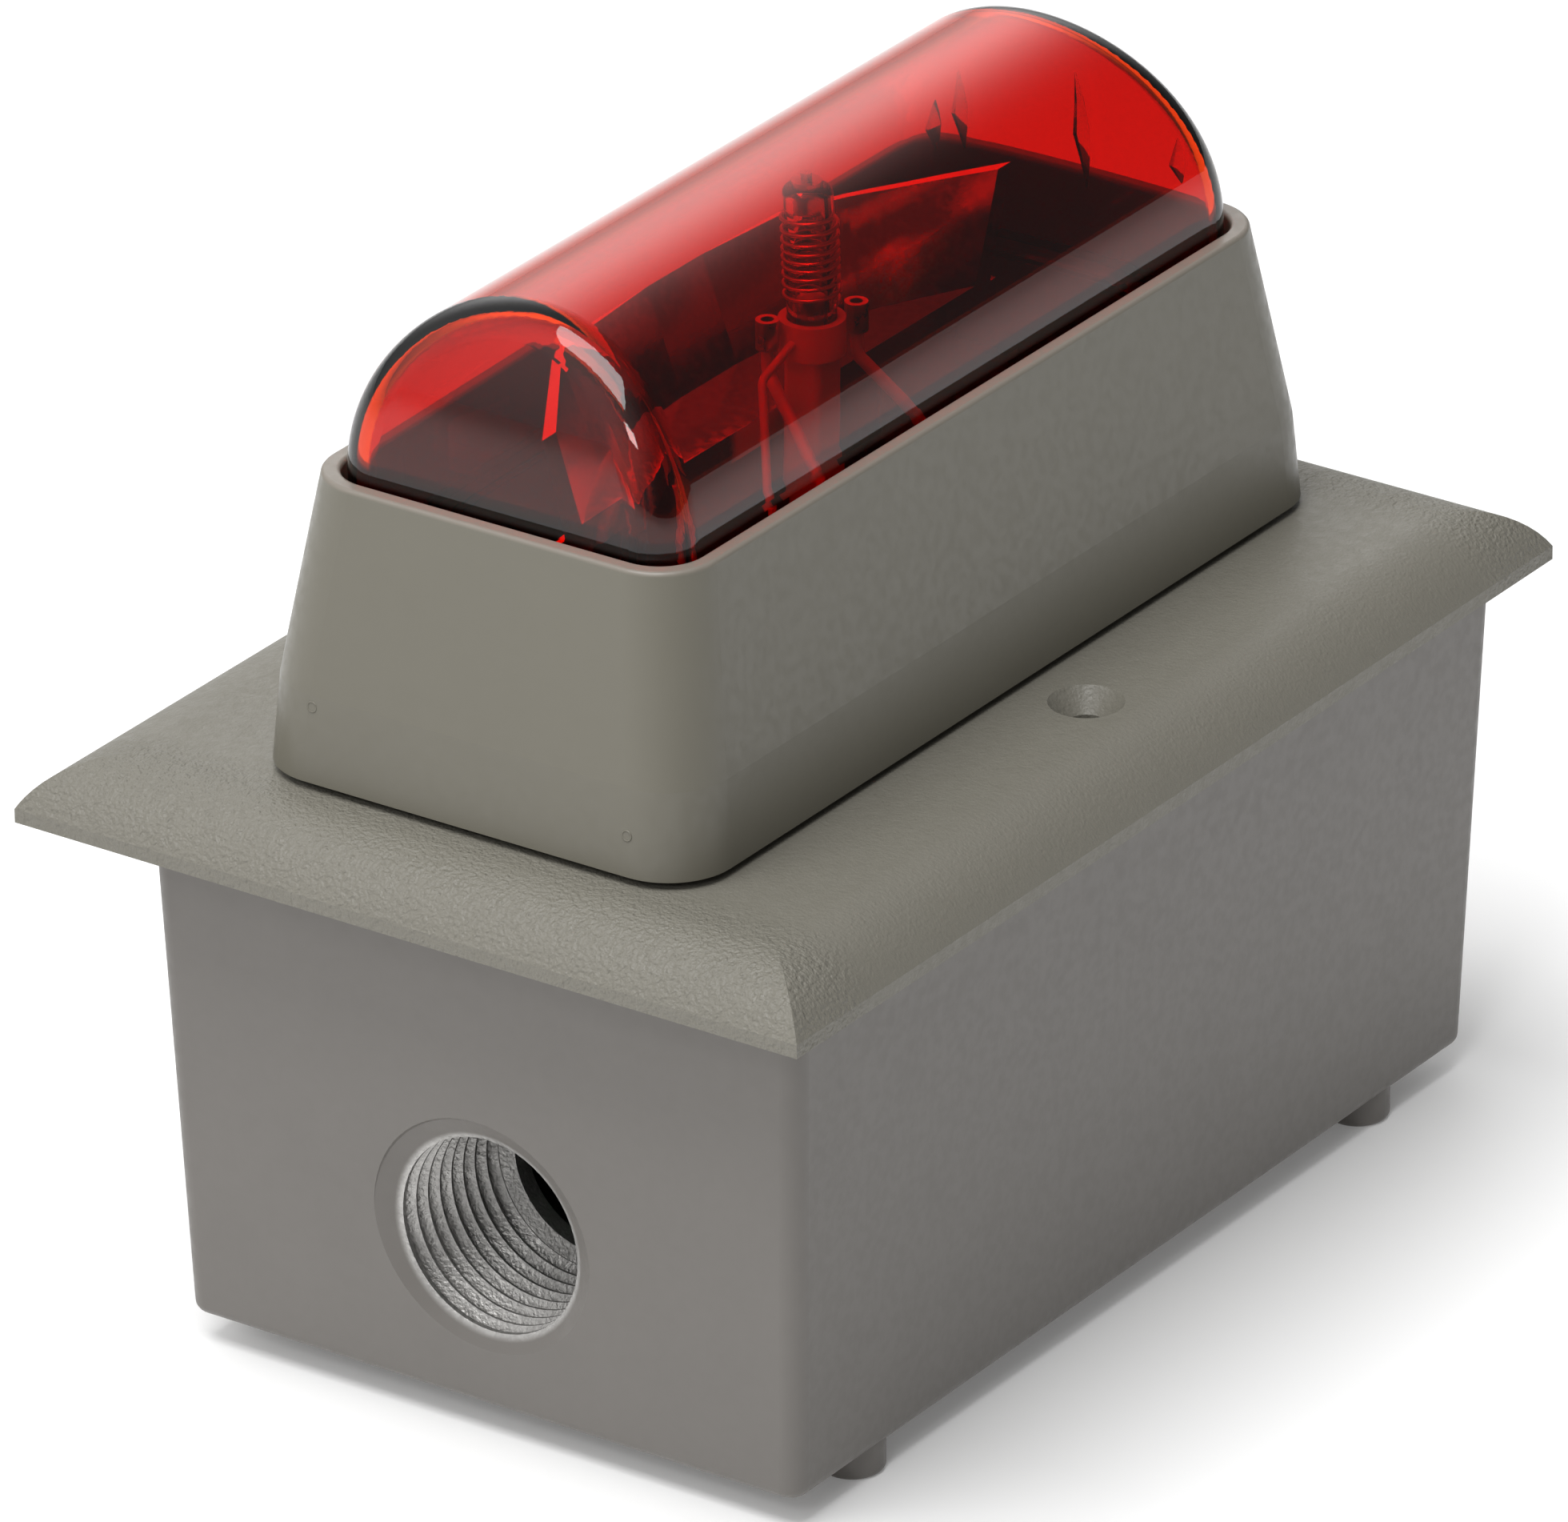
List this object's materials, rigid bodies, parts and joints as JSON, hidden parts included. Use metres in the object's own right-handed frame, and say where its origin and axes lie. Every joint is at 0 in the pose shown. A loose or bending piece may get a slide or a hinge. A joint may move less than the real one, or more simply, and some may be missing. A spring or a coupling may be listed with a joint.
{
  "type": "horn strobe",
  "caption": "Weatherproof horn strobe: cast box with threaded conduit entry, bullnosed cover plate, tapered bezel and clear red half-barrel lens over an upright flash tube.",
  "frame": {"origin": "on the plane of the four feet, under the middle of the object", "axes": "+Z from the feet towards the lens, X along the short side, Y along the long side; the conduit entry faces -Y"},
  "size_m": [0.0856, 0.1238, 0.1074],
  "materials": {
    "box_paint": "satin baked paint on a fine cast surface",
    "cover_plastic": "matt moulded plastic with a pebbled grain",
    "bezel_plastic": "smooth satin moulded plastic",
    "red_lens": "clear red polycarbonate, polished",
    "gasket_rubber": "matt",
    "mirror_sheet": "bright-rolled sheet",
    "clear_glass": "polished",
    "zinc_steel": "bright zinc plate",
    "dark_steel": "blackened steel",
    "green_screw": "green dyed zinc",
    "copper": "enamelled copper",
    "black_plastic": "satin",
    "white_plastic": "satin",
    "green_board": "solder mask",
    "capacitor_sleeve": "shrunk sleeve",
    "resistor_body": "lacquer",
    "lead_insulation": "silicone",
    "terminal_plastic": "moulded"
  },
  "bodies": {
    "backbox": {"backbox": "box_paint", "ground_screw": "green_screw"},
    "head": {"cover_plate": "cover_plastic", "cover_gasket": "gasket_rubber", "bezel": "bezel_plastic", "clamp_screws": "zinc_steel", "lens": "red_lens", "lens_gasket": "gasket_rubber", "strobe_chassis": "black_plastic", "reflector": "mirror_sheet", "tube_post": "white_plastic", "flash_tube": "clear_glass", "tube_electrodes": "zinc_steel", "trigger_wire": "zinc_steel", "tube_clips": "zinc_steel", "tube_leads": "lead_insulation", "circuit_board": "green_board", "board_screws": "zinc_steel", "flash_capacitor": "capacitor_sleeve", "trigger_transformer": "black_plastic", "boost_inductor": "copper", "switch_transistor": "black_plastic", "control_chip": "black_plastic", "resistors": "resistor_body", "diodes": "black_plastic", "terminal_block": "terminal_plastic", "terminal_screws": "zinc_steel", "selector_body": "black_plastic", "trimmer_body": "black_plastic", "horn_frame": "dark_steel", "horn_ring": "zinc_steel", "horn_screws": "zinc_steel", "horn_core": "dark_steel", "horn_coil": "copper", "horn_magnet": "dark_steel", "horn_leads": "lead_insulation"},
    "diaphragm": {"diaphragm": "zinc_steel", "armature": "dark_steel"},
    "selector": {"selector_knob": "white_plastic"},
    "trimmer": {"trimmer_rotor": "white_plastic"}
  },
  "joints": [
    {"name": "head_lift", "type": "slide", "parent": "backbox", "child": "head", "axis": [0, 0, 1], "range_m": [0, 0.09]},
    {"name": "diaphragm_buzz", "type": "slide", "parent": "head", "child": "diaphragm", "axis": [0, 0, 1], "range_m": [-0.0004, 0.0004], "stiffness_N_per_m": 2000},
    {"name": "selector_slide", "type": "slide", "parent": "head", "child": "selector", "axis": [0, 1, 0], "range_m": [0, 0.005]},
    {"name": "trimmer_turn", "type": "hinge", "parent": "head", "child": "trimmer", "pos_m": [-0.014, -0.006, 0.036], "axis": [0, 0, -1], "range_deg": [-135, 135]}
  ]
}
